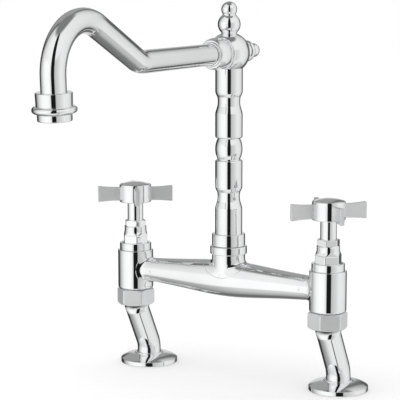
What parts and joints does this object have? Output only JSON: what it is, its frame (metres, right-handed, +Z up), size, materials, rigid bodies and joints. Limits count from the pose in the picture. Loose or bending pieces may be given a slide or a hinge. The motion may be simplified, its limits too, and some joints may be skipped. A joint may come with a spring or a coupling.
{
  "type": "bridge mixer tap",
  "caption": "Deck-mounted bridge mixer tap with cross handles, cranked legs, a turned swivel column and a swan-necked spout.",
  "frame": {"origin": "deck level, midway between the two threaded tails", "axes": "+Z up, +X along the bridge towards the right-hand valve, the spout points to -Y at rest"},
  "size_m": [0.2297, 0.2928, 0.3683],
  "materials": {
    "chrome": "polished chrome plate on brass",
    "brass": "turned, unplated",
    "steel": "stainless, turned",
    "rubber": "matt black sealing rubber",
    "ceramic": "ground ceramic",
    "nylon": "moulded nylon"
  },
  "bodies": {
    "base": {"bridge_body": "chrome", "glide_ring": "nylon", "grub_screw": "steel", "left_backnut": "brass", "left_bonnet": "chrome", "left_cartridge": "brass", "left_deck_washer": "steel", "left_fixed_disc": "ceramic", "left_flange": "chrome", "left_flange_gasket": "rubber", "left_leg": "chrome", "left_seat_seal": "rubber", "left_union_nut": "chrome", "left_union_washer": "rubber", "right_backnut": "brass", "right_bonnet": "chrome", "right_cartridge": "brass", "right_deck_washer": "steel", "right_fixed_disc": "ceramic", "right_flange": "chrome", "right_flange_gasket": "rubber", "right_leg": "chrome", "right_seat_seal": "rubber", "right_union_nut": "chrome", "right_union_washer": "rubber"},
    "left_handle": {"left_crosshead": "chrome", "left_sleeve": "chrome", "left_cap": "chrome", "left_handle_screw": "steel", "left_spindle": "brass", "left_spindle_ring": "rubber", "left_turning_disc": "ceramic"},
    "right_handle": {"right_crosshead": "chrome", "right_sleeve": "chrome", "right_cap": "chrome", "right_handle_screw": "steel", "right_spindle": "brass", "right_spindle_ring": "rubber", "right_turning_disc": "ceramic"},
    "spout": {"column": "chrome", "column_collar": "chrome", "column_seal_rings": "rubber", "elbow": "chrome", "finial": "chrome", "rear_knob": "chrome", "spout_pipe": "chrome", "pipe_ring": "chrome", "outlet_collar": "chrome", "aerator_shell": "chrome", "aerator_plate": "nylon", "aerator_washer": "rubber"}
  },
  "joints": [
    {"name": "spout_swivel", "type": "hinge", "parent": "base", "child": "spout", "pos_m": [0, -0.02, 0.1], "axis": [0, 0, 1], "continuous": true},
    {"name": "left_handle_turn", "type": "hinge", "parent": "base", "child": "left_handle", "pos_m": [-0.09, -0.02, 0.12], "axis": [0, 0, 1], "range_deg": [0, 90]},
    {"name": "right_handle_turn", "type": "hinge", "parent": "base", "child": "right_handle", "pos_m": [0.09, -0.02, 0.12], "axis": [0, 0, 1], "range_deg": [-90, 0]}
  ]
}
